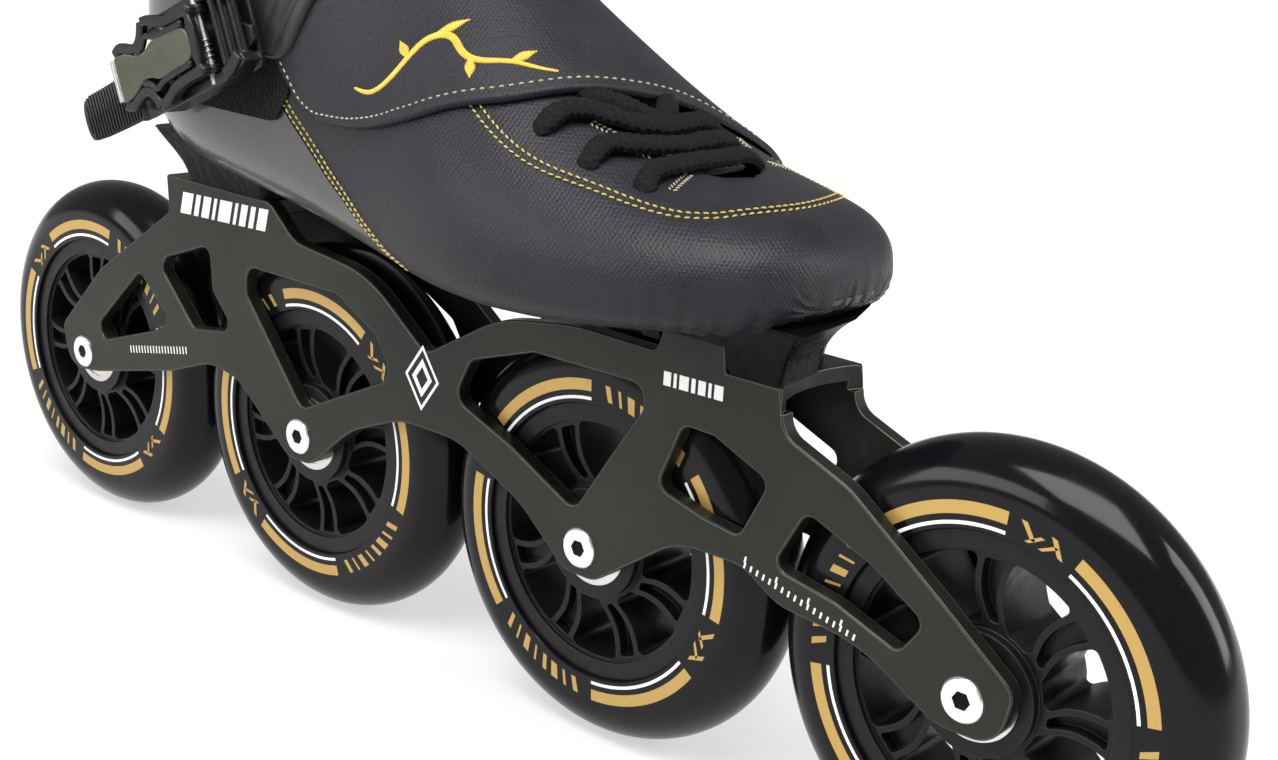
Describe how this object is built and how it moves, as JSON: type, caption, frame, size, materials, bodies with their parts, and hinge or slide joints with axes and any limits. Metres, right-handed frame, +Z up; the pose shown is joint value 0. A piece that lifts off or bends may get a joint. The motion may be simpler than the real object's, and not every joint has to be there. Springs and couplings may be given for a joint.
{
  "type": "inline speed skate",
  "caption": "Right-foot inline speed skate: low boot with laces, instep strap and ratchet buckle, on a lattice frame with four large wheels in line.",
  "frame": {"origin": "on the ground, in the plane of the wheels, midway between the second and third wheels", "axes": "+X towards the toe, +Y towards the wearer's left (the inner side of this right foot), +Z up"},
  "size_m": [0.4452, 0.0983, 0.259],
  "materials": {
    "tyre": "gloss",
    "hub": "satin",
    "bearing_steel": "polished",
    "bearing_shield": "satin",
    "cage": "matte",
    "axle": "satin",
    "frame": "matt anodised",
    "block": "rough",
    "fastener": "satin",
    "laminate": "gloss",
    "shell": "semi-gloss",
    "upper": "woven-grain microfibre",
    "lining": "matt",
    "insole": "matt",
    "lace": "woven",
    "strap": "woven-grain microfibre",
    "patch": "looped pile",
    "pad": "ribbed",
    "ladder": "satin",
    "buckle": "satin",
    "lever": "satin"
  },
  "bodies": {
    "skate": {"axle_1": "axle", "bearing_spacer_1": "bearing_steel", "bearing_inner_1": "bearing_steel", "axle_2": "axle", "bearing_spacer_2": "bearing_steel", "bearing_inner_2": "bearing_steel", "axle_3": "axle", "bearing_spacer_3": "bearing_steel", "bearing_inner_3": "bearing_steel", "axle_4": "axle", "bearing_spacer_4": "bearing_steel", "bearing_inner_4": "bearing_steel", "frame": "frame", "front_mount_block": "block", "rear_mount_block": "block", "mount_bolts": "fastener", "mount_washers": "fastener", "mount_inserts": "fastener", "sole_plate": "laminate", "heel_shell": "shell", "upper": "upper", "tongue": "lining", "liner": "lining", "insole": "insole", "laces": "lace", "instep_strap": "strap", "strap_patch": "patch", "cuff_pad": "pad", "buckle_pad": "patch", "ladder_strap": "ladder", "buckle_base": "buckle", "buckle_pins": "fastener", "buckle_springs": "fastener", "strap_rivets": "fastener"},
    "wheel_1": {"tyre_1": "tyre", "hub_1": "hub", "bearing_outer_1": "bearing_steel", "bearing_balls_1": "bearing_steel", "bearing_cages_1": "cage", "bearing_shields_1": "bearing_shield"},
    "wheel_2": {"tyre_2": "tyre", "hub_2": "hub", "bearing_outer_2": "bearing_steel", "bearing_balls_2": "bearing_steel", "bearing_cages_2": "cage", "bearing_shields_2": "bearing_shield"},
    "wheel_3": {"tyre_3": "tyre", "hub_3": "hub", "bearing_outer_3": "bearing_steel", "bearing_balls_3": "bearing_steel", "bearing_cages_3": "cage", "bearing_shields_3": "bearing_shield"},
    "wheel_4": {"tyre_4": "tyre", "hub_4": "hub", "bearing_outer_4": "bearing_steel", "bearing_balls_4": "bearing_steel", "bearing_cages_4": "cage", "bearing_shields_4": "bearing_shield"},
    "lever": {"buckle_lever": "lever"},
    "pawl": {"buckle_pawl": "buckle"}
  },
  "joints": [
    {"name": "wheel_1_spin", "type": "hinge", "parent": "skate", "child": "wheel_1", "pos_m": [-0.16764, 0, 0.055], "axis": [0, 1, 0], "continuous": true},
    {"name": "wheel_2_spin", "type": "hinge", "parent": "skate", "child": "wheel_2", "pos_m": [-0.05588, 0, 0.055], "axis": [0, 1, 0], "continuous": true},
    {"name": "wheel_3_spin", "type": "hinge", "parent": "skate", "child": "wheel_3", "pos_m": [0.05588, 0, 0.055], "axis": [0, 1, 0], "continuous": true},
    {"name": "wheel_4_spin", "type": "hinge", "parent": "skate", "child": "wheel_4", "pos_m": [0.16764, 0, 0.055], "axis": [0, 1, 0], "continuous": true},
    {"name": "lever_hinge", "type": "hinge", "parent": "skate", "child": "lever", "pos_m": [-0.05741, -0.0458, 0.16727], "axis": [-0.4067, 0, 0.9135], "range_deg": [0, 70], "stiffness_Nm_per_rad": 0.01, "springref_deg": -17.19},
    {"name": "pawl_hinge", "type": "hinge", "parent": "skate", "child": "pawl", "pos_m": [-0.07248, -0.0458, 0.16056], "axis": [-0.4067, 0, 0.9135], "range_deg": [0, 5], "stiffness_Nm_per_rad": 0.01, "springref_deg": -17.19}
  ]
}
